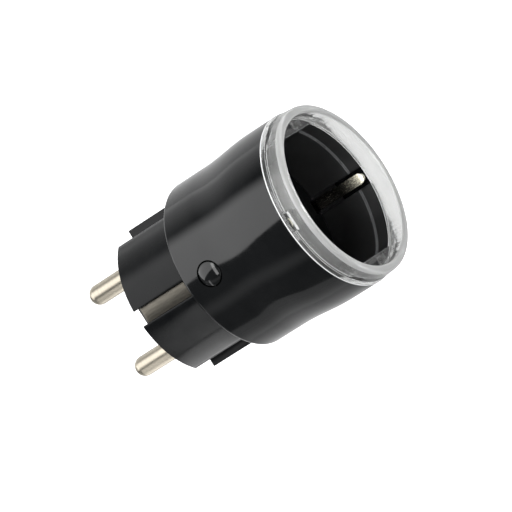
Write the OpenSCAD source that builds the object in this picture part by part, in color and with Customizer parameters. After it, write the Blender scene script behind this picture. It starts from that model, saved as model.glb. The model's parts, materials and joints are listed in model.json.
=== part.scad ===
// Round smart plug for a side-earth wall socket: a black body with a clear light ring,
// a recessed socket at the front, a push button on top and a two-pin plug at the back.
// Every module is drawn with its axis along Z, the wall at +Z and the button at -Y;
// upright() turns it into the part's own frame: socket face -Y, pins +Y, button +Z.

/* [Body] */
// Radius of the body at the light ring
body_r = 21.5; // [21:0.1:22.5]
// Radius of the body at its wall end
waist_r = 20.6; // [20.3:0.1:21]
// From the plug's face to the front rim of the light ring
front_reach = 52; // [51:0.5:54]
// From the plug's face to the body's wall end
plug_len = 16.1; // [16:0.1:17]
// Wall of the outer shell
shell_wall = 1.2; // [1:0.1:1.2]
// Rounding of the body's wall end
end_round = 0.8; // [0.5:0.1:1.5]

/* [Light ring] */
// Outer radius of the ring at its front rim
rim_r = 21; // [20.6:0.1:21.4]
// Inner radius of the ring
ring_bore_r = 19; // [18.9:0.05:19.1]
// Height of the ring above the shell
ring_h = 5.3; // [4.5:0.1:6]

/* [Socket recess] */
// Radius of the recess wall
recess_r = 19.2; // [19.1:0.05:19.3]
// Depth of the recess below the front rim
recess_depth = 19.5; // [19:0.1:19.6]
// Distance from the axis to each side flat of the recess
side_flat = 16.1; // [16:0.1:16.4]
// Width of the slots that hold the earth clips
clip_slot_w = 4.2; // [4:0.1:5]

/* [Pins] */
// Diameter of a mains pin
pin_d = 4.8; // [4.7:0.05:4.9]
// Length of a mains pin beyond the plug's face
pin_len = 19; // [18.5:0.1:19.5]
// Distance between the pin centres
pin_pitch = 19; // [18.8:0.1:19.2]

/* [Plug] */
// Radius of the plug section
plug_r = 18.5; // [18.3:0.1:18.6]
// Distance from the axis to each side flat of the plug
plug_flat = 16; // [15.9:0.1:16.3]
// Reach of the key rib on each flat
rib_reach = 17.9; // [17.2:0.1:18.2]
// Width of the key ribs
rib_w = 4.4; // [3:0.1:6]
// Width of the earth strip slots
strip_slot_w = 3.8; // [3.6:0.1:4.4]

/* [Button] */
// Diameter of the button
button_d = 5.6; // [5:0.1:6]
// Distance of the button from the plug's face
button_y = 23.3; // [23.3:0.1:24]
// How far the button travels
button_travel = 0.45; // [0.3:0.05:0.5]

/* [Shutter] */
// How far the shutter slides to open
shutter_travel = 5.9; // [5.8:0.1:6]

/* [Hidden] */
$fn = 96;
eps = 0.01;

// stations along the axis, measured from the plug's face
rim_z = -front_reach;
joint_z = rim_z + ring_h;
shell_top_z = joint_z + 0.02;
insert_top_z = joint_z - 0.6;
ledge_z = rim_z + 8;
floor_z = rim_z + recess_depth;
floor_t = 2;
floor_back_z = floor_z + floor_t;
wall_end_z = floor_z + 0.6;
body_end_z = -plug_len;
lip_t = 1.6;
lip_r = 15;
flange_t = 1;
flange_z = body_end_z - lip_t - flange_t;

// the taper between body_r and waist_r
taper_top_z = -39;
taper_end_z = -25;
taper_steps = 14;
edge_break = 0.15;
button_gap = 0.3;

// the recess wall and floor inside the shell
wall_r = body_r - shell_wall - 0.1;
wall_low_r = wall_r - 0.45;
floor_plate_r = wall_low_r - 0.2;
recess_low_r = recess_r - 0.5;
clip_slot_y = 18;
clip_gap = 0.4;
clip_hole_y = 17.2;
clip_hole_d = 1.9;
pocket_x = side_flat + 0.8;
pocket_r = 19.2;
guide_w = 3.4;
guide_y = 4.5;
guide_gap = 0.1;
// half width of a square that reaches past the whole body
far = 25;

// the plug section's inside
end_wall = 2.2;
base_wall = 1.6;
base_r = plug_r - base_wall;
strip_t = 0.8;
strip_in = plug_r - 2.3;
pad_in = strip_in - base_wall;
shank_r = 2.2;
tail_r = 1.2;
pin_seat = 0.4;
strip_end_z = -20.6;
pin_boss_z = -8;
pin_back_z = -18;
hole_gap = 0.15;

// the boards
board_z = -16.5;
board_t = 1.2;
board_r = 16;
board_flat = 14.1;
control_h = 14.6;
control_z = -28;
control_t = 1;
switch_w = 4.5;
plunger_r = 1.2;
button_foot = 18.2;
plunger_top = button_foot - 0.05;
plunger_low = control_h + 2.2;
switch_top = plunger_top - button_travel - 0.1;
led_board_z = floor_back_z + 0.2;
led_board_t = 0.8;
led_h = 0.9;
led_w = 0.9;
led_len = 2;
led_x = 17.85;

// screws
screw_x = 8.5;
screw_y = 9.5;
screw_r = 1.25;
screw_head_r = 2.2;
screw_len = 24;
screw_seat = 1.6;

// receptacles, shutter and earth parts
entry_r = 2.75;
contact_r = 2.45;
contact_wall = 0.75;
shutter_z = floor_back_z + 0.3;
shutter_t = 1.2;
contact_z = shutter_z + shutter_t + 0.3;
contact_end_z = -20;
shutter_half = 3;
stud_r = 1.4;
tongue_w = 7.2;
stop_h = 13;
spring_wire = 0.2;
spring_r = 0.85;
spring_turns = 6;
sleeve_x = 0;
sleeve_y = 10;
sleeve_wall = 0.45;
sleeve_back_z = -14.8;
sleeve_boss_z = -12;
tag_w = 2.8;
tag_t = 0.6;
clip_w = 2.6;
clip_t = 0.6;
clip_root_z = -29.4;
clip_leg_y = 18.1;
bus_z = -29.2;
bus_t = 0.6;
wire_r = 0.4;

// turns a module's Z axis to the frame's +Y, and its -Y to the frame's +Z
module upright() rotate([-90, 0, 0]) children();

// turns a child drawn at the bottom (+Y here) to the top (-Y here)
module at_top() rotate([0, 0, 180]) children();
module both_sides() for (side = [0, 180]) rotate([0, 0, side]) children();

// body radius at station z: a smooth cosine taper
function body_radius(z) =
    z <= taper_top_z ? body_r :
    z >= taper_end_z ? waist_r :
    waist_r + (body_r - waist_r) * (1 + cos(180 * (z - taper_top_z) / (taper_end_z - taper_top_z))) / 2;
function taper_points(inset) =
    [for (i = [0 : taper_steps])
        let (z = taper_top_z + (taper_end_z - taper_top_z) * i / taper_steps)
        [body_radius(z) - inset, z]];
// arc of radius r about [cx, cy] from angle a to angle b
function arc(cx, cy, r, a, b, steps = 8) =
    [for (i = [0 : steps]) let (t = a + (b - a) * i / steps) [cx + r * cos(t), cy + r * sin(t)]];

// outline of the plug section, grown by g
module plug_outline(g = 0) {
    difference() {
        union() {
            intersection() {
                circle(r = plug_r + g);
                square([2 * (plug_flat + g), 2 * far], center = true);
            }
            square([2 * (rib_reach + g), rib_w + 2 * g], center = true);
        }
        both_sides() translate([-strip_slot_w / 2 + g, strip_in + g])
            square([strip_slot_w - 2 * g, 10]);
    }
}

module outer_shell() color("#101113") upright() {
    difference() {
        rotate_extrude() polygon(concat(
            [[body_r - shell_wall, shell_top_z], [body_r - edge_break, shell_top_z],
             [body_r, shell_top_z + edge_break]],
            taper_points(0),
            arc(waist_r - end_round, body_end_z - end_round, end_round, 0, 90),
            [[lip_r, body_end_z], [lip_r, body_end_z - lip_t],
             [waist_r - shell_wall, body_end_z - lip_t]],
            [for (i = [taper_steps : -1 : 0]) taper_points(shell_wall)[i]]));
        translate([0, 0, body_end_z - lip_t - 1]) linear_extrude(lip_t + 2) {
            plug_outline(0.05);
            both_sides() translate([-strip_slot_w / 2, 0]) square([strip_slot_w, strip_in + strip_t + 0.1]);
        }
        translate([0, 0, -button_y]) rotate([90, 0, 0])
            cylinder(r = button_d / 2 + button_gap, h = far);
    }
}

// outline of the recess: a round wall with two side flats
module recess_outline(r = recess_r) intersection() {
    circle(r = r);
    square([2 * side_flat, 2 * far], center = true);
}

// outline of one light guide beside a recess flat, shrunk by g
module guide_outline(g = 0) for (s = [-1, 1]) intersection() {
    circle(r = pocket_r - g);
    translate([pocket_x + g, s * guide_y - guide_w / 2 + g]) square([5, guide_w - 2 * g]);
}

module light_ring() color("#dfe6ea", 0.55) upright() {
    rim_round = 1;
    bore_round = 0.6;
    seat_r = wall_r + 0.05;
    notch_w = 4.5;
    notch_depth = 1.4;
    notch_h = 1.7;
    wedge_top = insert_top_z - 1;
    slot_w = 5.4;
    difference() {
        rotate_extrude() polygon(concat(
            [[seat_r, joint_z], [seat_r, insert_top_z], [ring_bore_r, insert_top_z]],
            arc(ring_bore_r + bore_round, rim_z + bore_round, bore_round, 180, 270, 5),
            arc(rim_r - rim_round, rim_z + rim_round, rim_round, 270, 360, 7),
            [[body_r - edge_break, joint_z - 0.6], [body_r, joint_z - edge_break],
             [body_r - 0.1, joint_z]]));
        // locating notch in line with the button
        translate([-notch_w / 2, -seat_r - notch_depth / 2, joint_z - notch_h])
            cube([notch_w, notch_depth, notch_h + eps]);
    }
    both_sides() {
        // clear cap over each side flat of the recess, sloping down towards the flat
        intersection() {
            translate([0, 0, wedge_top]) linear_extrude(insert_top_z - wedge_top) difference() {
                circle(r = ring_bore_r + 0.3);
                translate([-2 * far, -far]) square([2 * far + side_flat, 2 * far]);
                translate([pocket_x + 0.5, -slot_w / 2]) square([1.1, slot_w]);
            }
            rotate([90, 0, 0]) translate([0, 0, -far]) linear_extrude(2 * far)
                polygon([[side_flat - 1, insert_top_z - 0.2], [ring_bore_r + 1, wedge_top - 0.1],
                         [ring_bore_r + 1, insert_top_z + 1], [side_flat - 1, insert_top_z + 1]]);
        }
        // light guides that run down behind the flats to the lamps
        translate([0, 0, insert_top_z - 0.2])
            linear_extrude(led_board_z - led_h - insert_top_z) guide_outline(guide_gap);
    }
}

// slots beside the flats that the light guides run in
module guide_slots() both_sides()
    translate([0, 0, insert_top_z - 1]) linear_extrude(floor_back_z - insert_top_z + 2) guide_outline();

// holes that the clips' legs go through
module clip_holes() both_sides() translate([-clip_w / 2 - clip_gap, clip_hole_y, floor_z - eps])
    cube([clip_w + 2 * clip_gap, clip_hole_d, floor_t + 1]);

module recess_wall() color("#17181a") upright() difference() {
    union() {
        translate([0, 0, insert_top_z]) cylinder(r = wall_r, h = taper_top_z - insert_top_z);
        translate([0, 0, taper_top_z - eps])
            cylinder(r = wall_low_r, h = wall_end_z - taper_top_z + eps);
    }
    translate([0, 0, insert_top_z - 1]) linear_extrude(ledge_z - insert_top_z + 1) recess_outline();
    translate([0, 0, ledge_z - eps]) linear_extrude(far) recess_outline(recess_low_r);
    // slots for the earth clips, closed outside near the floor
    both_sides() {
        translate([-clip_slot_w / 2, clip_slot_y, insert_top_z - 1])
            cube([clip_slot_w, 5, taper_top_z - insert_top_z + 1]);
        translate([-clip_slot_w / 2, clip_slot_y, taper_top_z - eps])
            cube([clip_slot_w, clip_hole_y + clip_hole_d - clip_slot_y, floor_z - taper_top_z + eps]);
    }
    clip_holes();
    guide_slots();
}

module socket_floor() color("#17181a") upright() {
    stud_h = 1.7;
    difference() {
        union() {
            // raised face that fills the recess, on a wider plate under the wall
            translate([0, 0, floor_z]) linear_extrude(1) intersection() {
                circle(r = recess_low_r - 0.05);
                square([2 * side_flat - 0.1, 2 * far], center = true);
            }
            translate([0, 0, wall_end_z])
                cylinder(r = floor_plate_r, h = floor_back_z - wall_end_z);
            // screw posts
            for (s = [-1, 1]) translate([s * screw_x, screw_y, floor_back_z - eps])
                cylinder(r = screw_head_r, h = board_z - floor_back_z + eps);
            // stud that guides the shutter, with its head
            translate([0, 0, floor_back_z - eps]) cylinder(r = stud_r, h = stud_h + eps);
            translate([0, 0, floor_back_z + stud_h]) cylinder(r = stud_r + 0.7, h = 0.4);
            // wall that the shutter's spring pushes against
            translate([-2.4, -stop_h - 1, floor_back_z - eps]) cube([4.8, 1, 2.2]);
        }
        for (s = [-1, 1]) {
            translate([s * pin_pitch / 2, 0, floor_z - 1]) cylinder(r = entry_r, h = floor_t + 2);
            translate([s * screw_x, screw_y, -screw_len - 1]) cylinder(r = screw_r, h = far);
        }
        clip_holes();
        guide_slots();
    }
}

// every hole that runs through the end wall and its bosses
module base_bores() {
    for (s = [-1, 1]) {
        translate([s * pin_pitch / 2, 0, -far]) cylinder(r = shank_r, h = 2 * far);
        translate([s * pin_pitch / 2, 0, -pin_seat]) cylinder(d = pin_d + 0.2, h = far);
        translate([s * screw_x, screw_y, -far]) cylinder(r = screw_r + hole_gap, h = 2 * far);
        translate([s * screw_x, screw_y, -screw_seat]) cylinder(r = screw_head_r + 0.1, h = far);
    }
    translate([sleeve_x, sleeve_y, -end_wall]) cylinder(r = contact_r, h = far);
    translate([sleeve_x, sleeve_y, -far]) cylinder(r = contact_r + sleeve_wall, h = far - end_wall);
    // window that lets the sleeve's tag reach the lower strip
    translate([-tag_w / 2 - 0.2, sleeve_y + 3, sleeve_back_z - 0.1]) cube([tag_w + 0.4, 6, tag_t + 0.2]);
}

module plug_base() color("#131416") upright() {
    inner_flat = plug_flat - base_wall;
    difference() {
        union() {
            translate([0, 0, flange_z]) linear_extrude(-flange_z) plug_outline();
            translate([0, 0, flange_z]) linear_extrude(flange_t) difference() {
                circle(r = waist_r - shell_wall - 0.15);
                both_sides() translate([-strip_slot_w / 2, strip_in]) square([strip_slot_w, 10]);
            }
        }
        // hollow inside, with a pad left behind each earth strip
        translate([0, 0, flange_z - 1]) linear_extrude(-flange_z + 1 - end_wall) difference() {
            intersection() {
                circle(r = base_r);
                square([2 * inner_flat, 2 * far], center = true);
            }
            both_sides() translate([-strip_slot_w / 2 - base_wall, pad_in])
                square([strip_slot_w + 2 * base_wall, 10]);
        }
        base_bores();
    }
    difference() {
        union() {
            for (s = [-1, 1]) {
                translate([s * pin_pitch / 2, 0, pin_boss_z]) cylinder(r = shank_r + 2, h = -pin_boss_z - end_wall);
                translate([s * screw_x, screw_y, board_z + board_t])
                    cylinder(r = screw_head_r + 0.4, h = -board_z - board_t - end_wall);
            }
            translate([sleeve_x, sleeve_y, sleeve_boss_z])
                cylinder(r = contact_r + sleeve_wall + 0.7, h = -sleeve_boss_z - end_wall);
        }
        base_bores();
    }
}

module mains_pin(side) color("#c9c4b8") upright() translate([side * pin_pitch / 2, 0, 0]) {
    r = pin_d / 2;
    rotate_extrude() polygon(concat(
        [[0, pin_back_z], [tail_r, pin_back_z], [tail_r, pin_boss_z], [shank_r, pin_boss_z], [shank_r, 0], [r, 0]],
        arc(0, pin_len - r, r, 0, 90, 12)));
}
module live_pin() mains_pin(-1);
module neutral_pin() mains_pin(1);

// strip in the plug's lower slot, with its end bent in at the plug's face
module earth_strip() color("#a59c88") {
    tip_z = -0.3;
    bend_r = 1.2;
    w = strip_slot_w - 0.1;
    translate([-w / 2, 0, 0]) rotate([90, 0, 90]) linear_extrude(w) polygon(concat(
        [[strip_in, strip_end_z], [strip_in + strip_t, strip_end_z]],
        arc(strip_in + strip_t - bend_r, tip_z - bend_r, bend_r, 0, 60, 5),
        [[strip_in, tip_z - 0.75]]));
}
module lower_earth_strip() upright() earth_strip();
module upper_earth_strip() upright() at_top() earth_strip();

// sprung clip on the recess wall, drawn at the bottom: lead-in, contact crease and straight leg
module socket_clip() color("#cfcab8") intersection() {
    tip_z = insert_top_z + 0.6;
    line = [[18.7, tip_z], [17.35, -42], [clip_leg_y, -35], [clip_leg_y, clip_root_z]];
    translate([-5, 0, 0]) rotate([90, 0, 90]) linear_extrude(10) polygon(concat(
        line, [for (i = [len(line) - 1 : -1 : 0]) [line[i][0] + clip_t, line[i][1]]]));
    rotate([-90, 0, 0]) translate([0, 0, 10]) linear_extrude(15) union() {
        translate([0, -tip_z - clip_w / 2]) circle(r = clip_w / 2);
        translate([-clip_w / 2, -clip_root_z]) square([clip_w, clip_root_z - tip_z - clip_w / 2]);
    }
}
module lower_socket_clip() upright() socket_clip();
module upper_socket_clip() upright() at_top() socket_clip();

// ring that joins the two clips' legs
module earth_bus() color("#b9b2a0") upright() translate([0, 0, bus_z]) linear_extrude(bus_t)
    difference() {
        circle(r = clip_leg_y + 0.7);
        circle(r = clip_leg_y - 1.2);
    }

// round wire through a list of points, with a ball at each bend
module wire(points, r) {
    for (i = [0 : len(points) - 2]) {
        d = points[i + 1] - points[i];
        translate(points[i]) rotate([0, acos(d[2] / norm(d)), atan2(d[1], d[0])])
            cylinder(r = r, h = norm(d), $fn = 24);
    }
    if (len(points) > 2) for (i = [1 : len(points) - 2]) translate(points[i]) sphere(r = r * 1.15, $fn = 24);
}
module earth_wires() color("#6f9a35") upright() {
    from_z = bus_z + bus_t;
    mid_y = strip_in + strip_t / 2;
    side_x = 5.3;
    wire([[0, mid_y + 0.9, from_z], [0, mid_y, strip_end_z]], wire_r);
    wire([[side_x, -mid_y - 0.4, from_z], [side_x, -mid_y, strip_end_z + 0.5],
          [strip_slot_w / 2, -mid_y, strip_end_z + 0.5]], wire_r);
}

module earth_pin_sleeve() color("#cdbb7a") upright() translate([sleeve_x, sleeve_y, 0]) {
    difference() {
        translate([0, 0, sleeve_back_z]) cylinder(r = contact_r + sleeve_wall, h = -sleeve_back_z - end_wall);
        translate([0, 0, sleeve_back_z + tag_t]) cylinder(r = contact_r, h = far);
    }
    translate([-tag_w / 2, contact_r, sleeve_back_z])
        cube([tag_w, strip_in - sleeve_y - contact_r, tag_t]);
}

// socket contact: a slit sleeve with a tail down to the power board
module receptacle(side) color("#c7a85a") upright() translate([side * pin_pitch / 2, 0, 0]) {
    outer_r = contact_r + contact_wall;
    slit_w = 1;
    tail_w = 2;
    difference() {
        translate([0, 0, contact_z]) cylinder(r = outer_r, h = contact_end_z - contact_z);
        translate([0, 0, -2 * far]) cylinder(r = contact_r, h = 2 * far);
        translate([-slit_w / 2, 0, -2 * far]) cube([slit_w, far, 2 * far + contact_end_z - 2]);
    }
    translate([-tail_w / 2, -outer_r + 0.05, contact_end_z - 1])
        cube([tail_w, contact_wall - 0.05, board_z + board_t + 0.6 - contact_end_z + 1]);
}
module live_receptacle() receptacle(-1);
module neutral_receptacle() receptacle(1);

module shutter() color("#d8d3c4") upright() translate([0, 0, shutter_z]) linear_extrude(shutter_t)
    difference() {
        union() {
            intersection() {
                square([2 * far, 2 * shutter_half], center = true);
                circle(r = pin_pitch / 2 + 3.4);
            }
            translate([-tongue_w / 2, 0]) square([tongue_w, shutter_travel + stud_r + 2.2]);
        }
        translate([-stud_r - hole_gap, -stud_r - hole_gap])
            square([2 * (stud_r + hole_gap), shutter_travel + 2 * (stud_r + hole_gap)]);
    }

// helical spring along Y, swept as one closed surface
module shutter_spring() color("#9fa3a8") upright() {
    low = -stop_h + 0.05;
    high = -shutter_half - 0.05;
    turn_steps = 12;
    steps = spring_turns * turn_steps;
    sides = 8;
    span = high - low - 2 * spring_wire;
    points = [for (i = [0 : steps], k = [0 : sides - 1])
        let (turn = 360 * i / turn_steps, a = 360 * k / sides,
             rr = spring_r + spring_wire * cos(a))
        [rr * cos(turn), low + spring_wire + span * i / steps + spring_wire * sin(a), rr * sin(turn)]];
    walls = [for (i = [0 : steps - 1], k = [0 : sides - 1])
        let (n = (k + 1) % sides)
        [i * sides + k, i * sides + n, (i + 1) * sides + n, (i + 1) * sides + k]];
    caps = [[for (k = [sides - 1 : -1 : 0]) k],
            [for (k = [0 : sides - 1]) steps * sides + k]];
    translate([0, 0, shutter_z + 0.85]) polyhedron(points, concat(walls, caps), convexity = 10);
}

module button_cap() color("#0c0d0e") upright() translate([0, 0, -button_y]) rotate([90, 0, 0]) {
    foot = button_foot;
    foot_t = 0.5;
    edge = waist_r - 0.15;
    dome_h = 0.8;
    r = button_d / 2;
    ball_r = (r * r + dome_h * dome_h) / (2 * dome_h);
    rotate_extrude() polygon(concat(
        [[0, foot], [r + 0.8, foot], [r + 0.8, foot + foot_t], [r, foot + foot_t]],
        arc(0, edge + dome_h - ball_r, ball_r, asin((ball_r - dome_h) / ball_r), 90, 10)));
}

module switch_body() color("#3a3d40") upright() translate([0, 0, -button_y]) rotate([90, 0, 0])
    difference() {
        translate([-switch_w / 2, -switch_w / 2, control_h]) cube([switch_w, switch_w, switch_top - control_h]);
        translate([0, 0, plunger_low - button_travel - hole_gap])
            cylinder(r = plunger_r + hole_gap, h = far);
    }

module switch_plunger() color("#e5e2da") upright() translate([0, 0, -button_y]) rotate([90, 0, 0])
    translate([0, 0, plunger_low]) cylinder(r = plunger_r, h = plunger_top - plunger_low);

module control_board() color("#1f5a34") upright() {
    w = 16;
    depth = 8.7;
    hole_x = 7;
    hole_r = 0.5;
    difference() {
        translate([-w / 2, -control_h, control_z]) cube([w, control_t, depth]);
        for (i = [-1, 1]) translate([i * hole_x, -control_h - 1, control_z + 0.9]) rotate([-90, 0, 0])
            cylinder(r = hole_r, h = control_t + 2);
    }
}

module wifi_module() color("#b6babd") upright() {
    under = -control_h + control_t;
    plate_t = 0.8;
    can = [11.2, 2, 5];
    translate([-7.5, under, control_z + 0.2]) cube([15, plate_t, 5.6]);
    translate([-4.2, under + plate_t, control_z + 0.5]) cube(can);
    // antenna track
    for (i = [0 : 2]) translate([-7.1 + i, under + plate_t, control_z + 0.5]) cube([0.4, 0.1, 4.8]);
}

module board_header() color("#222222") upright() {
    under = -control_h + control_t;
    pitch = 2.54;
    block = [12.8, 2.4, 2.5];
    pin_w = 0.6;
    pin_reach = 3.1;
    translate([-block[0] / 2, under, board_z - block[2]]) cube(block);
    for (i = [-2 : 2]) translate([i * pitch - pin_w / 2, under + 0.05, board_z - block[2] - pin_reach])
        cube([pin_w, pin_w, pin_reach + eps]);
}

module led_board() color("#e8e8e4") upright() {
    outer_r = 19;
    inner_r = 16.2;
    translate([0, 0, led_board_z]) linear_extrude(led_board_t) difference() {
        circle(r = outer_r);
        circle(r = inner_r);
        both_sides() translate([-clip_w / 2 - clip_gap, clip_hole_y])
            square([clip_w + 2 * clip_gap, 5]);
    }
}

module status_leds() color("#f2f0da") upright()
    for (s = [-1, 1], t = [-1, 1])
        translate([s * led_x - led_w / 2, t * guide_y - led_len / 2, led_board_z - led_h])
            cube([led_w, led_len, led_h]);

module power_board() color("#1f5a34") upright() translate([0, 0, board_z]) linear_extrude(board_t)
    difference() {
        intersection() {
            circle(r = board_r);
            square([2 * board_flat, 2 * far], center = true);
        }
        both_sides() translate([-4, pad_in - 0.2]) square([8, 5]);
        for (s = [-1, 1]) {
            translate([s * pin_pitch / 2, 0]) circle(r = tail_r + 0.1);
            // slot for a receptacle's tail
            translate([s * pin_pitch / 2 - 1.1, -3.3]) square([2.2, 1]);
            translate([s * screw_x, screw_y]) circle(r = screw_r + hole_gap);
        }
    }

module relay() color("#2b6fb0") upright() {
    w = 10.2;
    d = 14.8;
    h = 11.7;
    low_y = -8.5;
    groove = 0.2;
    groove_z = board_z - 1.5;
    difference() {
        translate([-w / 2, low_y, board_z - h]) cube([w, d, h]);
        // moulded step along the cover's foot
        for (s = [-1, 1]) translate([s * w / 2 - groove, low_y - 0.5, groove_z])
            cube([2 * groove, d + 1, 2 * groove]);
    }
}

module capacitor() color("#27323f") upright() translate([0, 11.2, 0]) {
    r = 3.4;
    top_z = -28.4;
    crimp_z = -18.2;
    rotate_extrude() polygon([[0, top_z], [r - 0.4, top_z], [r, top_z + 0.4], [r, crimp_z - 0.4],
                              [r - 0.25, crimp_z], [r, crimp_z + 0.4], [r, board_z], [0, board_z]]);
}

module inductor() color("#3b3f42") upright() translate([11, -7.6, 0]) {
    r = 2.9;
    core_r = 2.2;
    top_z = -24.4;
    plate_t = 1.2;
    rotate_extrude() polygon([[0, top_z], [r, top_z], [r, top_z + plate_t], [core_r, top_z + plate_t],
                              [core_r, board_z - plate_t], [r, board_z - plate_t], [r, board_z],
                              [0, board_z]]);
}

module varistor() color("#2f63a8") upright() {
    t = 2.8;
    mid_z = -20.9;
    leg_top_z = mid_z + 1.5;
    translate([-11, -7.6, 0]) {
        translate([-t / 2, 0, mid_z]) rotate([0, 90, 0]) cylinder(r = 3.4, h = t);
        for (s = [-1, 1]) translate([0, s * 2.2, leg_top_z]) cylinder(r = 0.35, h = board_z - leg_top_z);
    }
}

module fuse() color("#4f7d52") upright() translate([-12.3, 5.3, 0]) {
    lead_r = 0.3;
    r = 1.2;
    top_z = -26;
    rotate_extrude() polygon([[0, top_z], [lead_r, top_z], [lead_r, top_z + 1], [r, top_z + 1.4],
                              [r, -18.4], [lead_r, -18], [lead_r, board_z], [0, board_z]]);
}

module metering_chip() color("#1a1a1c") upright()
    translate([-3, -8.5, board_z + board_t]) cube([6, 5, 1.5]);

module case_screws() color("#8d9196") upright() {
    head_top_z = -0.2;
    cross = [2.6, 0.5];
    for (s = [-1, 1]) translate([s * screw_x, screw_y, 0]) difference() {
        rotate_extrude() polygon([[0, -screw_len], [screw_r, -screw_len + 1], [screw_r, -screw_seat],
                                  [screw_head_r, -screw_seat], [screw_head_r, head_top_z - 0.3],
                                  [screw_head_r - 0.4, head_top_z], [0, head_top_z]]);
        for (a = [0, 90]) translate([0, 0, head_top_z - 0.5]) rotate([0, 0, a])
            translate([-cross[0] / 2, -cross[1] / 2, 0]) cube([cross[0], cross[1], 1]);
    }
}

outer_shell();
light_ring();
recess_wall();
socket_floor();
plug_base();
live_pin();
neutral_pin();
upper_earth_strip();
lower_earth_strip();
upper_socket_clip();
lower_socket_clip();
earth_bus();
earth_wires();
earth_pin_sleeve();
live_receptacle();
neutral_receptacle();
shutter();
shutter_spring();
button_cap();
switch_body();
switch_plunger();
control_board();
wifi_module();
board_header();
led_board();
status_leds();
power_board();
relay();
capacitor();
inductor();
varistor();
fuse();
metering_chip();
case_screws();
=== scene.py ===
"""Round smart plug with a clear light ring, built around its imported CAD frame.

The socket face looks along -Y, the pins along +Y, and the button is on top at +Z.
Everything is in metres, in the frame's own coordinates.
"""
import json
import math

import bmesh
import bpy
from mathutils import Matrix, Vector


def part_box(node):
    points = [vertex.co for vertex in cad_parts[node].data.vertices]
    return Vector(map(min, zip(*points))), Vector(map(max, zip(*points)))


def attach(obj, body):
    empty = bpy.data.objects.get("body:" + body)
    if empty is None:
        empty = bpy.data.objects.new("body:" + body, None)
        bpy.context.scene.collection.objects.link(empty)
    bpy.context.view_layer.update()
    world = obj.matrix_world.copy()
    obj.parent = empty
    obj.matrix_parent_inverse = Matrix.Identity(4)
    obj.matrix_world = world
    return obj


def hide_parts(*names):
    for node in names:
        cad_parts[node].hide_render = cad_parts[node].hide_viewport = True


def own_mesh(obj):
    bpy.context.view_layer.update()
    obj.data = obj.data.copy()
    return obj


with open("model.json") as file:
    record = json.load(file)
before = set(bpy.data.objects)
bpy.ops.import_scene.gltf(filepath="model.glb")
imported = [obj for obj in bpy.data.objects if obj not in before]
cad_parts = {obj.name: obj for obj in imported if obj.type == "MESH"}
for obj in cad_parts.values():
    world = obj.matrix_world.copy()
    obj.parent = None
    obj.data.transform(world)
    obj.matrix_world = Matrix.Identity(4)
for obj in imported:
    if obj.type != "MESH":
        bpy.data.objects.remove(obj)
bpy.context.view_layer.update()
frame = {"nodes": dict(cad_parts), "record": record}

# ---------------------------------------------------------------- sizes from the frame

MM = 0.001
FAR = 60 * MM

shell_low, shell_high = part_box("outer_shell")
ring_low, ring_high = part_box("light_ring")
wall_low, wall_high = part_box("recess_wall")
cap_low, cap_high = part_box("button_cap")
pin_low, pin_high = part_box("neutral_pin")
spring_low, spring_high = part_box("shutter_spring")
clip_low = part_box("upper_socket_clip")[0]
mounts = {mount["name"]: mount for mount in frame["record"]["mounts"]}

BODY_R = shell_high.x
BODY_END_Y = shell_high.y
JOINT_Y = shell_low.y - 0.02 * MM
RIM_Y = ring_low.y
WALL_R = wall_high.x
WALL_TOP_Y = wall_low.y
PIN_X = mounts["neutral_pin"]["pos_m"][0]
PIN_R = mounts["neutral_pin"]["dims"]["r_mm"] * MM
BUTTON_Y = (cap_low.y + cap_high.y) / 2

# ---------------------------------------------------------------- sizes of the moulding

SHELL_WALL = 1.2 * MM
SHELL_EDGE = 0.12 * MM
WAIST_R = BODY_R - 0.9 * MM
TAPER_TOP_Y = RIM_Y + 13 * MM
TAPER_END_Y = RIM_Y + 27 * MM
END_ROUND = 0.8 * MM
LIP_R = 15 * MM
LIP_T = 1.6 * MM
BUTTON_R = 2.8 * MM
BUTTON_GAP = 0.3 * MM
BUTTON_SUNK = 0.15 * MM
BUTTON_FOOT = 0.8 * MM
BUTTON_FOOT_T = 0.5 * MM
BUTTON_EDGE = 0.12 * MM
SPRING_WIRE_R = 0.2 * MM
PLUG_R = 18.5 * MM
PLUG_FLAT = 16 * MM
RIB_REACH = 17.9 * MM
RIB_W = 4.4 * MM
STRIP_SLOT_W = 3.8 * MM
STRIP_IN = 16.2 * MM
STRIP_T = 0.8 * MM
STRIP_GAP = 0.1 * MM
PLUG_GAP = 0.05 * MM
SHANK_R = 2.2 * MM
TAIL_R = 1.2 * MM
SHANK_END_Y = -8 * MM
RING_BORE_R = 19 * MM
RING_GAP = 0.05 * MM
RING_SLOPE = 0.15 * MM
SKIRT_H = 0.6 * MM
SEAT_BEVEL = 0.05 * MM
BORE_ROUND = 0.6 * MM
LEDGE_Y = RIM_Y + 8 * MM
RIM_R = BODY_R - 0.5 * MM
RIM_ROUND = 1 * MM
SIDE_FLAT = 16.1 * MM
CAP_T = 1 * MM
CAP_R = RING_BORE_R + 0.3 * MM
POCKET_X = SIDE_FLAT + 1.3 * MM
POCKET_W = 1.1 * MM
POCKET_Z = 2.7 * MM
GUIDE_X = SIDE_FLAT + 0.9 * MM
GUIDE_R = 19.1 * MM
GUIDE_Z = 4.5 * MM
GUIDE_W = 3.2 * MM
NOTCH_W = 4.5 * MM
NOTCH_H = 1.7 * MM
NOTCH_DEPTH = 0.7 * MM
FROST_H = 0.35 * MM
TOUCH = 0.1 * MM  # a small overlap or tolerance


# ---------------------------------------------------------------- shapes

def arc(cx, cy, radius, start, end, steps):
    """Points on an arc about (cx, cy), with its angles in degrees."""
    angles = [math.radians(start + (end - start) * i / steps) for i in range(steps + 1)]
    return [(cx + radius * math.cos(a), cy + radius * math.sin(a)) for a in angles]


def add_object(name, mesh):
    """A new object for a mesh, in the scene."""
    piece = bpy.data.objects.new(name, mesh)
    bpy.context.scene.collection.objects.link(piece)
    return piece


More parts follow.
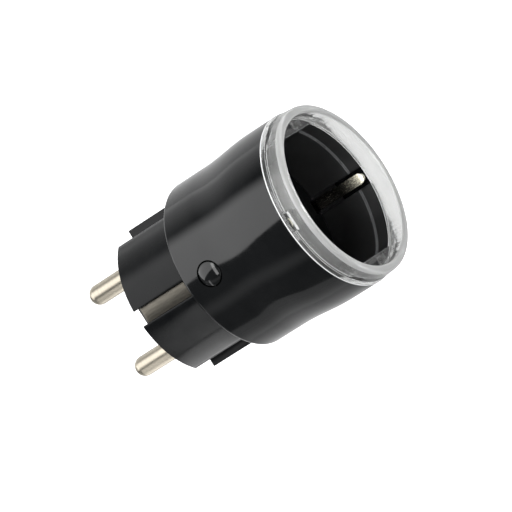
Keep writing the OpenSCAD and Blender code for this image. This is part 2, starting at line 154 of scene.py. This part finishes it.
def from_bmesh(name, bm):
    """A new object from a bmesh, with its normals outwards."""
    bmesh.ops.recalc_face_normals(bm, faces=bm.faces)
    mesh = bpy.data.meshes.new(name)
    bm.to_mesh(mesh)
    bm.free()
    return add_object(name, mesh)


def lathe(name, profile, segments=192, axis="Y", centre=(0, 0, 0)):
    """A closed solid of revolution from (radius, height) points, about Y or Z through centre."""
    bm = bmesh.new()
    origin = Vector(centre)
    rings = []
    for radius, height in profile:
        if radius < 1e-7:
            tip = (0, height, 0) if axis == "Y" else (0, 0, height)
            rings.append([bm.verts.new(origin + Vector(tip))] * segments)
            continue
        ring = []
        for i in range(segments):
            turn = 2 * math.pi * i / segments
            a, b = radius * math.cos(turn), radius * math.sin(turn)
            at = (a, height, b) if axis == "Y" else (a, b, height)
            ring.append(bm.verts.new(origin + Vector(at)))
        rings.append(ring)
    for here, there in zip(rings, rings[1:] + rings[:1]):
        for i in range(segments):
            n = (i + 1) % segments
            corners = list(dict.fromkeys((here[i], here[n], there[n], there[i])))
            if len(corners) > 2:
                bm.faces.new(corners)
    return from_bmesh(name, bm)


def extrude(name, outline, along):
    """A flat outline of points, drawn out along a vector."""
    bm = bmesh.new()
    face = bm.faces.new([bm.verts.new(point) for point in outline])
    grown = bmesh.ops.extrude_face_region(bm, geom=[face])["geom"]
    moved = [v for v in grown if isinstance(v, bmesh.types.BMVert)]
    bmesh.ops.translate(bm, verts=moved, vec=along)
    return from_bmesh(name, bm)


def prism(name, outline, low_y, high_y):
    """An outline of (x, z) points, drawn out along Y."""
    return extrude(name, [(x, low_y, z) for x, z in outline], (0, high_y - low_y, 0))


def prism_across(name, outline):
    """An outline of (x, y) points, drawn out along Z past the whole body."""
    return extrude(name, [(x, y, -FAR) for x, y in outline], (0, 0, 2 * FAR))


def block(name, low, high):
    """A box between two corners, for cutting with."""
    outline = [(low[0], low[2]), (high[0], low[2]), (high[0], high[2]), (low[0], high[2])]
    return prism(name, outline, low[1], high[1])


def apply_modifiers(piece):
    """Replaces a piece's mesh with what its modifiers make of it."""
    bpy.context.view_layer.update()
    graph = bpy.context.evaluated_depsgraph_get()
    mesh = bpy.data.meshes.new_from_object(piece.evaluated_get(graph))
    piece.modifiers.clear()
    piece.data = mesh
    return piece


def combine(piece, tool, operation):
    """Cuts, joins or intersects a piece with a tool, and removes the tool."""
    change = piece.modifiers.new(operation, "BOOLEAN")
    change.operation = operation
    change.solver = "EXACT"
    change.object = tool
    apply_modifiers(piece)
    bpy.data.objects.remove(tool)
    return piece


def soften(piece, width, angle=40, segments=3):
    """Rounds every edge of a piece that is sharper than angle."""
    bevel = piece.modifiers.new("soft_edges", "BEVEL")
    bevel.width = width
    bevel.segments = segments
    bevel.limit_method = "ANGLE"
    bevel.angle_limit = math.radians(angle)
    bevel.use_clamp_overlap = False
    return apply_modifiers(piece)


def shade(piece, angle=32):
    """Smooth shading, with edges sharper than angle kept."""
    piece.data.shade_smooth()
    piece.data.set_sharp_from_angle(angle=math.radians(angle))
    return piece


def refined(node, name, width, angle=40):
    """A copy of a CAD node with its flats merged and its sharp edges rounded."""
    bm = bmesh.new()
    bm.from_mesh(frame["nodes"][node].data)
    bmesh.ops.remove_doubles(bm, verts=bm.verts, dist=0.002 * MM)
    bmesh.ops.dissolve_limit(bm, angle_limit=math.radians(0.5), verts=bm.verts, edges=bm.edges)
    piece = from_bmesh(name, bm)
    return shade(soften(piece, width, angle))


def place(piece, slot, body, *nodes):
    """Gives a finished piece its slot's material and hangs it on the frame in place of its CAD nodes."""
    piece.data.materials.clear()
    piece.data.materials.append(MATERIALS[slot])
    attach(piece, body)
    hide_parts(*nodes)
    return piece


# ---------------------------------------------------------------- materials

class Graph:
    """A material's nodes, with the few patterns that the surfaces here share."""

    def __init__(self, name):
        self.material = bpy.data.materials.new(name)
        self.material.use_nodes = True
        self.nodes = self.material.node_tree.nodes
        self.links = self.material.node_tree.links
        self.shader = self.nodes["Principled BSDF"]
        self.place = self.nodes.new("ShaderNodeTexCoord").outputs["Object"]

    def set(self, **values):
        """Sets sockets of the shader: Coat_Weight=0.5 sets "Coat Weight"."""
        for name, value in values.items():
            self.shader.inputs[name.replace("_", " ")].default_value = value

    def stretched(self, scale):
        """The object's own coordinates, stretched by scale along X, Y and Z."""
        mapping = self.nodes.new("ShaderNodeMapping")
        mapping.inputs["Scale"].default_value = scale
        self.links.new(self.place, mapping.inputs["Vector"])
        return mapping.outputs["Vector"]

    def noise(self, size, detail=3.0, stretch=(1, 1, 1)):
        """Noise with features of about size, in metres."""
        noise = self.nodes.new("ShaderNodeTexNoise")
        noise.inputs["Scale"].default_value = 1 / size
        noise.inputs["Detail"].default_value = detail
        self.links.new(self.stretched(stretch), noise.inputs["Vector"])
        return noise.outputs["Fac"]

    def remap(self, value, low, high, start=0.3, end=0.7):
        """A value between start and end, moved to between low and high."""
        remap = self.nodes.new("ShaderNodeMapRange")
        for name, number in (("From Min", start), ("From Max", end), ("To Min", low), ("To Max", high)):
            remap.inputs[name].default_value = number
        self.links.new(value, remap.inputs["Value"])
        return remap.outputs["Result"]

    def blend(self, value, first, second):
        """Two colours, mixed by a value between 0.3 and 0.7."""
        ramp = self.nodes.new("ShaderNodeValToRGB")
        ramp.color_ramp.elements[0].position = 0.3
        ramp.color_ramp.elements[0].color = (*first, 1)
        ramp.color_ramp.elements[1].position = 0.7
        ramp.color_ramp.elements[1].color = (*second, 1)
        self.links.new(value, ramp.inputs["Fac"])
        return ramp.outputs["Color"]

    def colour(self, source):
        """Links the shader's colour."""
        self.links.new(source, self.shader.inputs["Base Color"])

    def roughness(self, source):
        """Links the shader's roughness."""
        self.links.new(source, self.shader.inputs["Roughness"])

    def pass_lamps(self, tint):
        """Lets lamp light through to what is behind, tinted, as real clear plastic does."""
        clear = self.nodes.new("ShaderNodeBsdfTransparent")
        clear.inputs["Color"].default_value = (*tint, 1)
        path = self.nodes.new("ShaderNodeLightPath")
        mix = self.nodes.new("ShaderNodeMixShader")
        self.links.new(path.outputs["Is Shadow Ray"], mix.inputs["Fac"])
        self.links.new(self.shader.outputs["BSDF"], mix.inputs[1])
        self.links.new(clear.outputs["BSDF"], mix.inputs[2])
        self.links.new(mix.outputs["Shader"], self.nodes["Material Output"].inputs["Surface"])

    def along(self, start, end):
        """0 up to start and 1 from end, along the object's own Y, in metres."""
        split = self.nodes.new("ShaderNodeSeparateXYZ")
        self.links.new(self.place, split.inputs["Vector"])
        return self.remap(split.outputs["Y"], 0, 1, start, end)

    def bump(self, value, depth):
        """Raises the surface by value times depth, in metres, on top of any bump before it."""
        bump = self.nodes.new("ShaderNodeBump")
        bump.inputs["Distance"].default_value = depth
        self.links.new(value, bump.inputs["Height"])
        before = self.shader.inputs["Normal"].links
        if before:
            self.links.new(before[0].from_socket, bump.inputs["Normal"])
        self.links.new(bump.outputs["Normal"], self.shader.inputs["Normal"])


def moulded(name, dark, light, smooth, rough, grain=0.4 * MM, grain_depth=0.002 * MM, wave_depth=0.0,
            specular=0.5):
    """Moulded plastic: colour that drifts a little, uneven gloss, a fine grain and slow sink marks.

    The colour stays between dark and light, and the roughness between smooth and rough.
    """
    g = Graph(name)
    g.set(Specular_IOR_Level=specular)
    g.colour(g.blend(g.noise(6 * MM), dark, light))
    g.roughness(g.remap(g.noise(3 * MM, detail=6), smooth, rough))
    if wave_depth:
        g.bump(g.noise(9 * MM, detail=1), wave_depth)
    g.bump(g.noise(grain), grain_depth)
    return g


def plated(name, dark, light, smooth, rough, stretch=(1, 1, 1), grain_depth=0.004 * MM):
    """Plated metal: colour that drifts, uneven gloss, and drawn lines across the stretched axes."""
    g = Graph(name)
    g.set(Metallic=1.0)
    g.colour(g.blend(g.noise(2.5 * MM, detail=5, stretch=stretch), dark, light))
    g.roughness(g.remap(g.noise(1.2 * MM, detail=6, stretch=stretch), smooth, rough))
    g.bump(g.noise(0.3 * MM, stretch=stretch), grain_depth)
    return g


def clip_with_painted_shade():
    """Nickel clip: plain nickel at its mouth, and a dark painted shade over the leg below it."""
    g = plated("clip_nickel_painted_shade", (0.66, 0.62, 0.50), (0.78, 0.74, 0.61), 0.2, 0.3, stretch=(6, 1, 6),
               grain_depth=0.0003 * MM)
    bright = g.shader.inputs["Base Color"].links[0].from_socket
    mottle = g.noise(1.5 * MM, detail=5, stretch=(4, 1, 4))
    # painted shade: a dark colour over the clip's leg, where the recess shades it
    painted_shade = g.blend(mottle, (0.09, 0.085, 0.074), (0.14, 0.133, 0.115))
    mix = g.nodes.new("ShaderNodeMix")
    mix.data_type = "RGBA"
    # plain nickel up to 4 mm from the mouth, painted shade from 6 mm on
    g.links.new(g.along(clip_low.y + 4 * MM, clip_low.y + 6 * MM), mix.inputs["Factor"])
    g.links.new(bright, mix.inputs["A"])
    g.links.new(painted_shade, mix.inputs["B"])
    g.colour(mix.outputs["Result"])
    return g.material


def clear_plastic(name, clarity, smooth, rough, wave_depth, stretch=(1, 1, 1)):
    """Clear plastic: clarity is the share of light that goes through, and the rest becomes haze."""
    g = Graph(name)
    g.set(IOR=1.49, Transmission_Weight=clarity)
    g.colour(g.blend(g.noise(4 * MM, detail=4), (0.94, 0.95, 0.94), (0.99, 0.995, 0.985)))
    g.roughness(g.remap(g.noise(2.5 * MM, detail=5), smooth, rough))
    g.bump(g.noise(3.5 * MM, detail=2, stretch=stretch), wave_depth)
    g.pass_lamps((0.85, 0.85, 0.85))
    return g.material


def frosted_edge():
    """The frosted seat of the clear ring, which catches the light as a thin bright line."""
    g = Graph("frosted_edge")
    g.colour(g.blend(g.noise(1.5 * MM), (0.90, 0.91, 0.91), (0.97, 0.98, 0.98)))
    g.roughness(g.remap(g.noise(0.6 * MM), 0.35, 0.5))
    g.bump(g.noise(0.15 * MM), 0.01 * MM)
    return g.material


def board(name, mask, copper):
    """Circuit board: solder mask over faint copper tracks."""
    g = Graph(name)
    tracks = g.nodes.new("ShaderNodeTexBrick")
    tracks.inputs["Scale"].default_value = 1 / (2.5 * MM)
    tracks.inputs["Mortar Size"].default_value = 0.06
    tracks.inputs["Color1"].default_value = (*mask, 1)
    tracks.inputs["Color2"].default_value = (*[c * 0.85 for c in mask], 1)
    tracks.inputs["Mortar"].default_value = (*copper, 1)
    g.links.new(g.place, tracks.inputs["Vector"])
    g.colour(tracks.outputs["Color"])
    g.roughness(g.remap(g.noise(1.5 * MM), 0.3, 0.42))
    g.bump(tracks.outputs["Fac"], 0.02 * MM)
    return g.material


BLACK = (0.0035, 0.004, 0.0045)
BLACK_LIGHT = (0.0065, 0.007, 0.0075)

MATERIALS = {
    "shell_black": moulded("shell_gloss", BLACK, BLACK_LIGHT, 0.07, 0.12, wave_depth=0.02 * MM).material,
    "insert_black": moulded("recess_satin", (0.019, 0.0195, 0.020), (0.026, 0.0265, 0.027), 0.32, 0.44,
                            grain=0.25 * MM, grain_depth=0.006 * MM).material,
    "floor_black": moulded("floor_satin", BLACK, BLACK_LIGHT, 0.32, 0.45, grain=0.25 * MM,
                           grain_depth=0.008 * MM).material,
    "base_black": moulded("base_gloss", BLACK, BLACK_LIGHT, 0.12, 0.20, wave_depth=0.012 * MM,
                          specular=0.17).material,
    "button_black": moulded("button_gloss", BLACK, BLACK_LIGHT, 0.06, 0.12).material,
    "ring_clear": clear_plastic("ring_wall", 0.98, 0.02, 0.07, 0.12 * MM, stretch=(1, 0.3, 1)),
    "pin_nickel": plated("pin_nickel", (0.45, 0.41, 0.335), (0.53, 0.485, 0.40), 0.28, 0.36,
                         stretch=(1, 6, 1)).material,
    # The earth strips' nickel is darkened far below the pins' and the clip's: painted shade, for the
    # strips' darker look.
    "earth_strip_metal": plated("strip_nickel_painted_shade", (0.125, 0.116, 0.098), (0.165, 0.153, 0.13), 0.28, 0.38,
                                stretch=(6, 1, 6), grain_depth=0.0008 * MM).material,
    "earth_clip_metal": clip_with_painted_shade(),
    "bus_metal": plated("bus_nickel", (0.60, 0.56, 0.47), (0.70, 0.66, 0.56), 0.28, 0.40).material,
    "contact_brass": plated("contact_brass", (0.72, 0.54, 0.25), (0.84, 0.66, 0.34), 0.22, 0.38,
                            stretch=(1, 5, 1)).material,
    "spring_steel": plated("spring_wire", (0.55, 0.56, 0.58), (0.68, 0.69, 0.71), 0.22, 0.36).material,
    "module_can": plated("tinned_can", (0.58, 0.59, 0.60), (0.70, 0.71, 0.72), 0.30, 0.45,
                         stretch=(1, 8, 1)).material,
    "screw_steel": plated("zinc_screw", (0.42, 0.43, 0.45), (0.58, 0.59, 0.61), 0.24, 0.42).material,
    "inductor_core": plated("ferrite", (0.05, 0.05, 0.055), (0.09, 0.09, 0.095), 0.45, 0.62).material,
    "wire_green": moulded("wire_sleeve", (0.16, 0.34, 0.05), (0.26, 0.48, 0.08), 0.36, 0.5).material,
    "shutter_white": moulded("shutter_satin", (0.68, 0.65, 0.57), (0.80, 0.77, 0.70), 0.38,
                             0.52).material,
    "switch_grey": moulded("switch_satin", (0.04, 0.042, 0.046), (0.06, 0.063, 0.067), 0.4,
                           0.55).material,
    "plunger_white": moulded("plunger_satin", (0.72, 0.70, 0.65), (0.82, 0.80, 0.75), 0.38, 0.5).material,
    "header_black": moulded("header_satin", (0.015, 0.015, 0.016), (0.024, 0.024, 0.025), 0.4,
                            0.55).material,
    "led_lens": moulded("led_resin", (0.84, 0.80, 0.62), (0.92, 0.89, 0.74), 0.1, 0.2).material,
    "relay_blue": moulded("relay_case", (0.035, 0.13, 0.34), (0.05, 0.17, 0.42), 0.34, 0.48).material,
    "capacitor_sleeve": moulded("capacitor_sleeve", (0.03, 0.045, 0.07), (0.05, 0.07, 0.1), 0.22,
                                0.34).material,
    "varistor_blue": moulded("dipped_resin", (0.045, 0.12, 0.34), (0.07, 0.17, 0.44), 0.2, 0.36,
                             wave_depth=0.05 * MM).material,
    "fuse_green": moulded("fuse_coat", (0.09, 0.24, 0.11), (0.13, 0.32, 0.15), 0.35, 0.5).material,
    "chip_black": moulded("chip_resin", (0.016, 0.016, 0.018), (0.026, 0.026, 0.028), 0.45, 0.6).material,
    "board_green": board("board_green", (0.015, 0.10, 0.04), (0.05, 0.17, 0.07)),
    "board_white": board("board_white", (0.78, 0.78, 0.76), (0.86, 0.84, 0.74)),
}


# ---------------------------------------------------------------- the housing

def body_radius(y):
    """Outer radius of the body: a cosine taper from the ring down to the waist."""
    t = min(max((y - TAPER_TOP_Y) / (TAPER_END_Y - TAPER_TOP_Y), 0), 1)
    return WAIST_R + (BODY_R - WAIST_R) * (1 + math.cos(math.pi * t)) / 2


def plug_outline(gap):
    """Outline of the plug section, grown by gap: arcs, side flats with key ribs, and strip slots."""
    r = PLUG_R + gap
    slot_x = STRIP_SLOT_W / 2 - gap
    rib_z = RIB_W / 2 + gap
    flat_x = PLUG_FLAT + gap
    slot_angle = math.degrees(math.acos(slot_x / r))
    flat_angle = math.degrees(math.acos(flat_x / r))
    quarter = [(RIB_REACH + gap, rib_z), (flat_x, rib_z)]
    quarter += arc(0, 0, r, flat_angle, slot_angle, 32)
    quarter += [(slot_x, STRIP_IN + gap)]
    mirrored = [(-x, z) for x, z in reversed(quarter)]
    upper = quarter + mirrored
    return upper + [(-x, -z) for x, z in upper]


def make_shell():
    """The outer shell, with its rounded wall end, plug opening and button hole."""
    seat_y = shell_low.y
    taper = [TAPER_TOP_Y + (TAPER_END_Y - TAPER_TOP_Y) * i / 40 for i in range(41)]
    outer = arc(BODY_R - SHELL_EDGE, seat_y + SHELL_EDGE, SHELL_EDGE, -90, 0, 4)
    outer += [(body_radius(y), y) for y in taper]
    outer += arc(WAIST_R - END_ROUND, BODY_END_Y - END_ROUND, END_ROUND, 0, 90, 16)
    lip = [(LIP_R, BODY_END_Y), (LIP_R, BODY_END_Y - LIP_T), (WAIST_R - SHELL_WALL, BODY_END_Y - LIP_T)]
    inner = [(body_radius(y) - SHELL_WALL, y) for y in reversed(taper)]
    profile = outer + lip + inner + [(BODY_R - SHELL_WALL, seat_y)]
    shell = lathe("shell_skin", profile, segments=256)
    opening = prism("opening", plug_outline(PLUG_GAP), BODY_END_Y - 2 * LIP_T, BODY_END_Y + LIP_T)
    combine(shell, opening, "DIFFERENCE")
    strip_out = STRIP_IN + STRIP_T + STRIP_GAP
    strips = block("strips", (-STRIP_SLOT_W / 2, BODY_END_Y - 2 * LIP_T, -strip_out),
                   (STRIP_SLOT_W / 2, BODY_END_Y + LIP_T, strip_out))
    combine(shell, strips, "DIFFERENCE")
    hole_r = BUTTON_R + BUTTON_GAP
    hole = lathe("hole", [(0, 0), (hole_r, 0), (hole_r, FAR), (0, FAR)], 96, "Z", (0, BUTTON_Y, 0))
    combine(shell, hole, "DIFFERENCE")
    return shade(shell)


def make_side_cap():
    """The clear cap over the +X side flat: a sloped plate with a pocket, and two light guides."""
    cap_top = WALL_TOP_Y - CAP_T
    foot_y = WALL_TOP_Y - 2 * TOUCH
    past_x = RING_BORE_R + MM
    cap = lathe("cap", [(0, cap_top), (CAP_R, cap_top), (CAP_R, WALL_TOP_Y), (0, WALL_TOP_Y)],
                segments=256)
    inside = block("inside", (-FAR, -FAR, -FAR), (SIDE_FLAT, FAR, FAR))
    pocket = block("pocket", (POCKET_X, -FAR, -POCKET_Z), (POCKET_X + POCKET_W, FAR, POCKET_Z))
    combine(cap, inside, "DIFFERENCE")
    combine(cap, pocket, "DIFFERENCE")
    slope = prism_across("slope", [(SIDE_FLAT - MM, foot_y), (past_x, cap_top - TOUCH),
                                   (past_x, WALL_TOP_Y + MM), (SIDE_FLAT - MM, WALL_TOP_Y + MM)])
    combine(cap, slope, "INTERSECT")
    for z in (-GUIDE_Z, GUIDE_Z):
        guide = lathe("guide", [(0, foot_y), (GUIDE_R, foot_y), (GUIDE_R, ring_high.y),
                                (0, ring_high.y)], segments=256)
        keep = block("keep", (GUIDE_X, -FAR, z - GUIDE_W / 2), (FAR, FAR, z + GUIDE_W / 2))
        combine(guide, keep, "INTERSECT")
        combine(cap, guide, "UNION")
    return cap


def make_ring():
    """The clear ring with its rolled rim, caps over the side flats, guides and locating notch."""
    seat_r = WALL_R + RING_GAP
    profile = [(seat_r, JOINT_Y), (seat_r, WALL_TOP_Y), (RING_BORE_R, WALL_TOP_Y)]
    profile += arc(RING_BORE_R + BORE_ROUND, RIM_Y + BORE_ROUND, BORE_ROUND, 180, 270, 10)
    profile += arc(RIM_R - RIM_ROUND, RIM_Y + RIM_ROUND, RIM_ROUND, 270, 360, 14)
    profile += [(BODY_R - RING_SLOPE, JOINT_Y - SKIRT_H), (BODY_R, JOINT_Y - FROST_H),
                (BODY_R, JOINT_Y - SEAT_BEVEL), (BODY_R - SEAT_BEVEL, JOINT_Y)]
    ring = lathe("ring_lens", profile, segments=256)
    for side in (-1, 1):
        cap = make_side_cap()
        if side < 0:
            cap.data.transform(Matrix.Rotation(math.pi, 4, "Y"))
        combine(ring, cap, "UNION")
    notch = block("notch", (-NOTCH_W / 2, JOINT_Y - NOTCH_H, seat_r - NOTCH_DEPTH),
                  (NOTCH_W / 2, JOINT_Y + MM, seat_r + NOTCH_DEPTH))
    combine(ring, notch, "DIFFERENCE")
    return shade(ring)


place(make_shell(), "shell_black", "housing", "outer_shell")
ring = place(make_ring(), "ring_clear", "housing", "light_ring")
ring.data.materials.append(clear_plastic("ring_bore", 0.82, 0.06, 0.16, 0.16 * MM, stretch=(1, 0.15, 1)))
ring.data.materials.append(clear_plastic("ring_rim", 0.57, 0.03, 0.09, 0.05 * MM))
ring.data.materials.append(frosted_edge())
BORE_INDEX, RIM_INDEX, FROST_INDEX = 1, 2, 3
for face in ring.data.polygons:
    r = face.center.xz.length
    if r > BODY_R - TOUCH and face.center.y > JOINT_Y - FROST_H:
        face.material_index = FROST_INDEX
    elif face.center.y < RIM_Y + RIM_ROUND:
        face.material_index = RIM_INDEX
    elif r < RING_BORE_R + TOUCH and abs(face.normal.y) < 0.3:
        face.material_index = BORE_INDEX
lining = refined("recess_wall", "recess_lining", 0.22 * MM)
place(lining, "insert_black", "housing", "recess_wall")
# The ledge's faces that look towards the socket face get a lighter grey: a painted highlight along the
# ledge's edge.
LEDGE_HIGHLIGHT_INDEX = 1
lining.data.materials.append(moulded("ledge_painted_highlight", (0.10, 0.103, 0.107), (0.15, 0.153, 0.157), 0.24,
                                     0.34).material)
for face in lining.data.polygons:
    if abs(face.center.y - LEDGE_Y) < 3 * TOUCH and face.normal.y < -0.2:
        face.material_index = LEDGE_HIGHLIGHT_INDEX
place(refined("socket_floor", "recess_floor", 0.1 * MM), "floor_black", "housing", "socket_floor")
place(refined("plug_base", "plug_section", 0.18 * MM), "base_black", "housing", "plug_base")


# ---------------------------------------------------------------- metal parts

def make_pin(name, x):
    """A turned mains pin with a domed tip."""
    tip = arc(0, pin_high.y - PIN_R, PIN_R, 0, 90, 20)
    profile = [(0, pin_low.y), (TAIL_R, pin_low.y), (TAIL_R, SHANK_END_Y), (SHANK_R, SHANK_END_Y),
               (SHANK_R, 0), (PIN_R, 0)] + tip[:-1] + [(0, pin_high.y)]
    return shade(lathe(name, profile, 96, "Y", (x, 0, 0)))


place(make_pin("live_pin_turned", -PIN_X), "pin_nickel", "housing", "live_pin")
place(make_pin("neutral_pin_turned", PIN_X), "pin_nickel", "housing", "neutral_pin")

for side in ("upper", "lower"):
    strip_node, clip_node = f"{side}_earth_strip", f"{side}_socket_clip"
    strip = refined(strip_node, f"{side}_strip_pressed", 0.06 * MM)
    place(strip, "earth_strip_metal", "housing", strip_node)
    clip = refined(clip_node, f"{side}_clip_pressed", 0.06 * MM)
    place(clip, "earth_clip_metal", f"{side}_clip", clip_node)

place(refined("case_screws", "case_screw_pair", 0.08 * MM), "screw_steel", "housing", "case_screws")
place(refined("earth_pin_sleeve", "earth_sleeve", 0.06 * MM), "contact_brass", "housing",
      "earth_pin_sleeve")


# ---------------------------------------------------------------- button and shutter

def make_button():
    """The domed button cap, with a soft edge and a foot that holds it in the shell."""
    dome_edge = WAIST_R - BUTTON_SUNK
    dome_h = cap_high.z - dome_edge
    ball_r = (BUTTON_R ** 2 + dome_h ** 2) / (2 * dome_h)
    edge_angle = math.degrees(math.asin((ball_r - dome_h) / ball_r))
    dome = arc(0, cap_high.z - ball_r, ball_r, edge_angle, 90, 24)
    foot_r = BUTTON_R + BUTTON_FOOT
    foot_top = cap_low.z + BUTTON_FOOT_T
    profile = [(0, cap_low.z), (foot_r, cap_low.z), (foot_r, foot_top),
               (BUTTON_R, foot_top)] + dome[:-1] + [(0, cap_high.z)]
    button = lathe("button_dome", profile, 96, "Z", (0, BUTTON_Y, 0))
    return shade(soften(button, BUTTON_EDGE, 30))


def make_spring():
    """The shutter's coil spring: a round wire wound along Z."""
    wire_r = SPRING_WIRE_R
    centre = (spring_low + spring_high) / 2
    coil_r = (spring_high.x - spring_low.x) / 2 - wire_r
    turns, steps, sides = 6, 36, 12
    bottom = spring_low.z + wire_r
    rise = spring_high.z - spring_low.z - 2 * wire_r
    bm = bmesh.new()
    rings = []
    for i in range(turns * steps + 1):
        turn = 2 * math.pi * i / steps
        middle = Vector((math.cos(turn), math.sin(turn), 0))
        ring = []
        for k in range(sides):
            a = 2 * math.pi * k / sides
            at = middle * (coil_r + wire_r * math.cos(a))
            at.z = bottom + rise * i / (turns * steps) + wire_r * math.sin(a)
            ring.append(bm.verts.new(at + Vector((centre.x, centre.y, 0))))
        rings.append(ring)
    for here, there in zip(rings, rings[1:]):
        for k in range(sides):
            n = (k + 1) % sides
            bm.faces.new((here[k], here[n], there[n], there[k]))
    bm.faces.new(rings[0])
    bm.faces.new(rings[-1])
    return shade(from_bmesh("shutter_coil", bm), 60)


place(make_button(), "button_black", "button", "button_cap")
place(refined("shutter", "shutter_plate_moulded", 0.08 * MM), "shutter_white", "shutter_plate", "shutter")

spring = place(make_spring(), "spring_steel", "housing", "shutter_spring")
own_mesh(spring)

# ---------------------------------------------------------------- CAD nodes that stay

node_slots = {part["node"]: part["material_slot"] for part in frame["record"]["subparts"]}
for name, node in frame["nodes"].items():
    if not node.hide_render:
        node.data.materials.clear()
        node.data.materials.append(MATERIALS[node_slots[name]])

# ---------------------------------------------------------------- stage, lights and camera

FLOOR_DROP = 0.16
WORLD_GLOW = 0.12
PANEL_DISTANCE = 0.5
CARD_DISTANCE = 0.104
MIRROR_LEAN = 30.3
BODY_MIDDLE = Vector((0, -30 * MM, 0))
CARD_MIDDLE = Vector((0, pin_high.y + 58 * MM, 0))


def make_floor():
    """A plain pale floor, slightly uneven, whose own glow is left out of glossy reflections."""
    bm = bmesh.new()
    bmesh.ops.create_grid(bm, x_segments=4, y_segments=4, size=3)
    bmesh.ops.translate(bm, verts=bm.verts, vec=(0, 0, -FLOOR_DROP))
    floor = from_bmesh("studio_floor", bm)
    g = Graph("floor_paint")
    g.colour(g.blend(g.noise(0.3), (0.90, 0.90, 0.90), (0.93, 0.93, 0.93)))
    g.roughness(g.remap(g.noise(0.1), 0.8, 0.9))
    g.set(Emission_Color=(1, 1, 1, 1), Specular_IOR_Level=0.1)
    path = g.nodes.new("ShaderNodeLightPath")
    glow = g.remap(path.outputs["Is Glossy Ray"], 0.9, 0.0, 0, 1)
    g.links.new(glow, g.shader.inputs["Emission Strength"])
    floor.data.materials.append(g.material)


def fade_sides(lamp, near, far):
    """Fades a panel's light in from its two sides, over shares of its width, as a real softbox does."""
    lamp.use_nodes = True
    nodes, links = lamp.node_tree.nodes, lamp.node_tree.links
    split = nodes.new("ShaderNodeSeparateXYZ")
    links.new(nodes.new("ShaderNodeNewGeometry").outputs["Parametric"], split.inputs["Vector"])
    both = nodes.new("ShaderNodeMath")
    both.operation = "MULTIPLY"
    for i, (start, end) in enumerate(((0, near), (1, 1 - far))):
        ramp = nodes.new("ShaderNodeMapRange")
        ramp.interpolation_type = "SMOOTHSTEP"
        ramp.inputs["From Min"].default_value = start
        ramp.inputs["From Max"].default_value = end
        links.new(split.outputs["X"], ramp.inputs["Value"])
        links.new(ramp.outputs["Result"], both.inputs[i])
    links.new(both.outputs["Value"], nodes["Emission"].inputs["Strength"])


def panel(name, direction, width, height, radiance, along=(0, 1, 0), fade=None,
          distance=PANEL_DISTANCE, centre=BODY_MIDDLE):
    """A soft rectangular light that faces centre from a distance, with its height set along a vector."""
    lamp = bpy.data.lights.new(name, "AREA")
    lamp.shape = "RECTANGLE"
    lamp.size = width
    lamp.size_y = height
    lamp.energy = radiance * math.pi * width * height
    if fade:
        fade_sides(lamp, *fade)
    piece = bpy.data.objects.new(name, lamp)
    bpy.context.scene.collection.objects.link(piece)
    back = Vector(direction).normalized()
    across = Vector(along).cross(back).normalized()
    up = back.cross(across)
    place_it = Matrix((across, up, back)).transposed().to_4x4()
    place_it.translation = centre + back * distance
    piece.matrix_world = place_it
    piece.visible_camera = False


def around(turn, lean=MIRROR_LEAN):
    """The direction that is turn degrees from up towards +X, and lean degrees towards +Y."""
    t, l = math.radians(turn), math.radians(lean)
    return (math.sin(t) * math.cos(l), math.sin(l), math.cos(t) * math.cos(l))


make_floor()
panel("key_panel", around(37), width=0.53, height=1.1, radiance=2.2, fade=(0.04, 0.3))
panel("left_panel", around(104), width=0.72, height=1.0, radiance=0.76, fade=(0.55, 0.2))
panel("ring_panel", around(8, lean=-11), width=0.12, height=0.6, radiance=4.4, along=(1, 0, 0))
panel("front_panel", around(-30, lean=-45), width=0.4, height=0.5, radiance=1.1, along=(1, 0, 0))
panel("side_strip", around(-38), width=0.2, height=0.8, radiance=0.3, fade=(0.5, 0.5))
panel("side_panel", around(-108), width=0.42, height=1.0, radiance=0.35)
for side, turn in (("upper", -50), ("lower", -105)):
    panel(f"{side}_pin_card", around(turn, lean=0), width=0.1, height=0.028, radiance=1.7,
          distance=CARD_DISTANCE, centre=CARD_MIDDLE)


def make_world():
    """A pale backdrop for the camera that adds only a faint glow to everything else."""
    world = bpy.data.worlds.new("studio")
    bpy.context.scene.world = world
    world.use_nodes = True
    nodes, links = world.node_tree.nodes, world.node_tree.links
    backdrop = nodes["Background"]
    backdrop.inputs["Color"].default_value = (0.96, 0.98, 1, 1)
    glow = nodes.new("ShaderNodeMapRange")
    glow.inputs["To Min"].default_value = WORLD_GLOW
    links.new(nodes.new("ShaderNodeLightPath").outputs["Is Camera Ray"], glow.inputs["Value"])
    links.new(glow.outputs["Result"], backdrop.inputs["Strength"])


make_world()

VIEW_AIM = Vector((-2.14 * MM, -23.4 * MM, 0))
VIEW_AZIMUTH = 0.2
VIEW_ELEVATION = 58.9
VIEW_ROLL = -122.34
VIEW_DISTANCE = 1.3334
LENS = 423.0


def make_camera():
    """The camera, set by its azimuth from -Y towards -X, its elevation and its roll."""
    azimuth, elevation, roll = (math.radians(a) for a in (VIEW_AZIMUTH, VIEW_ELEVATION, VIEW_ROLL))
    back = Vector((-math.sin(azimuth) * math.cos(elevation), -math.cos(azimuth) * math.cos(elevation),
                   math.sin(elevation)))
    level = Vector((0, 0, 1)).cross(back).normalized()
    upright = back.cross(level)
    right = level * math.cos(roll) + upright * math.sin(roll)
    data = bpy.data.cameras.new("photo_view")
    data.lens = LENS
    data.sensor_width = 36
    data.clip_end = 20
    camera = bpy.data.objects.new("photo_view", data)
    bpy.context.scene.collection.objects.link(camera)
    pose = Matrix((right, back.cross(right), back)).transposed().to_4x4()
    pose.translation = VIEW_AIM + back * VIEW_DISTANCE
    camera.matrix_world = pose
    bpy.context.scene.camera = camera


make_camera()
bpy.context.scene.view_settings.view_transform = "Standard"
